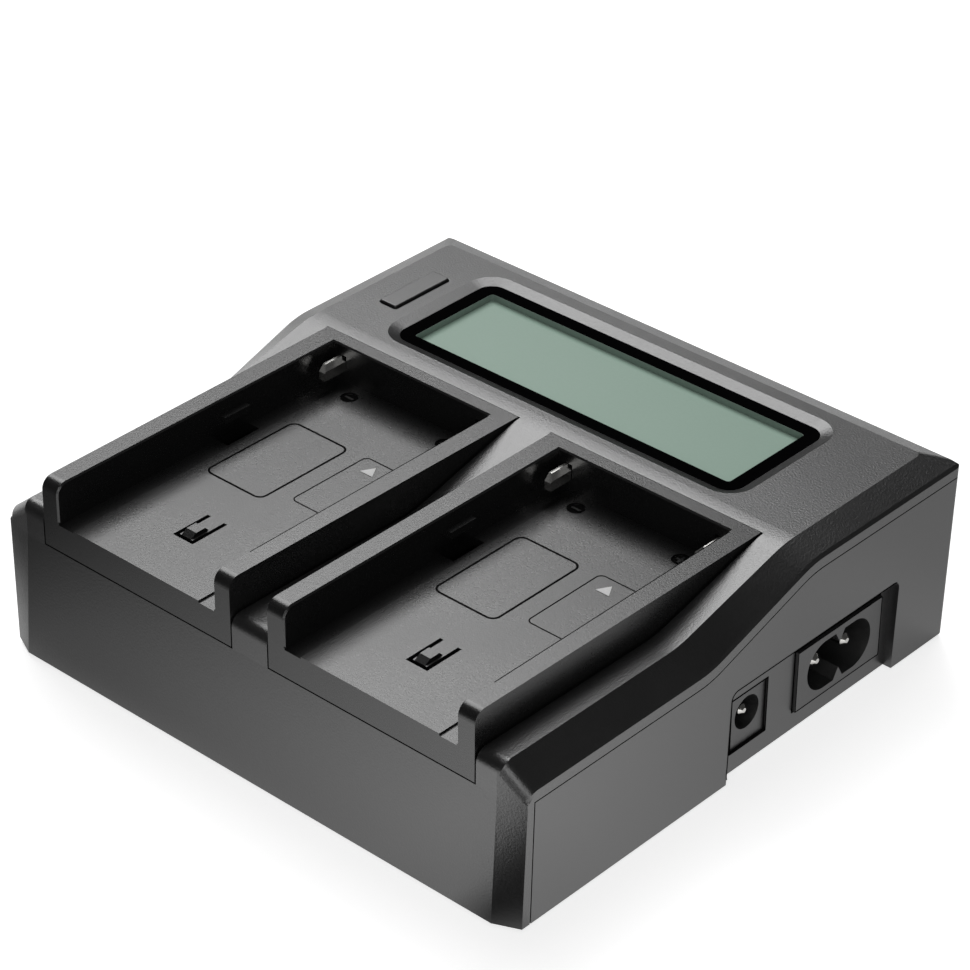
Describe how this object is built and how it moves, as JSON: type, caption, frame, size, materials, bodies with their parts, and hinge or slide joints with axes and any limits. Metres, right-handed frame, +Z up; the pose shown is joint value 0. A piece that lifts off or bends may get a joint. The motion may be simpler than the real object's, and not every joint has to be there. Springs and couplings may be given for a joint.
{
  "type": "dual battery charger",
  "caption": "Desktop charger for flat camcorder batteries: side-by-side open bays with blade contacts, a display and mode button behind them, power inlets on the right side.",
  "frame": {"origin": "middle of the footprint, on the surface the feet stand on", "axes": "+X towards the side with the power inlets, +Y from the open front of the bays to the back, +Z up"},
  "size_m": [0.124, 0.118, 0.0402],
  "materials": {
    "case_plastic": "fine matt grain",
    "cover_plastic": "fine matt grain",
    "tray_plastic": "fine matt grain",
    "bezel_plastic": "glossy black",
    "display_glass": "grey-green liquid crystal, switched off",
    "light_guide": "milky",
    "circuit_board": "green solder resist",
    "button_plastic": "satin",
    "terminal_plastic": "matt black",
    "contact_metal": "bright spring brass",
    "inlet_plastic": "satin black",
    "jack_plastic": "satin black",
    "plated_pin": "bright nickel plate",
    "ferrite": "dull sintered grey",
    "winding_tape": "yellow film tape",
    "capacitor_sleeve": "shrink sleeve",
    "heat_sink_metal": "plain extruded",
    "fuse_ceramic": "white body",
    "screw_steel": "zinc plate",
    "foot_rubber": "matt"
  },
  "bodies": {
    "charger": {"board_screws": "screw_steel", "bottom_case": "case_plastic", "case_screws": "screw_steel", "charge_controller": "terminal_plastic", "display_board": "circuit_board", "fuse": "fuse_ceramic", "heat_sink": "heat_sink_metal", "jack_pin": "plated_pin", "lcd_backlight": "light_guide", "lcd_bezel": "bezel_plastic", "lcd_panel": "display_glass", "left_battery_tray": "tray_plastic", "left_contact_blades": "contact_metal", "left_terminal_block": "terminal_plastic", "line_filter": "ferrite", "low_voltage_jack": "jack_plastic", "main_board": "circuit_board", "main_capacitor": "capacitor_sleeve", "mains_inlet": "inlet_plastic", "mains_pins": "plated_pin", "mode_switch": "terminal_plastic", "output_capacitors": "capacitor_sleeve", "right_battery_tray": "tray_plastic", "right_contact_blades": "contact_metal", "right_terminal_block": "terminal_plastic", "rubber_feet": "foot_rubber", "top_cover": "cover_plastic", "transformer_core": "ferrite", "transformer_winding": "winding_tape"},
    "button": {"mode_button": "button_plastic"}
  },
  "joints": [
    {"name": "mode_button_press", "type": "slide", "parent": "charger", "child": "button", "axis": [0, 0, -1], "range_m": [0, 0.0005], "stiffness_N_per_m": 600, "springref_m": -0.0005}
  ]
}
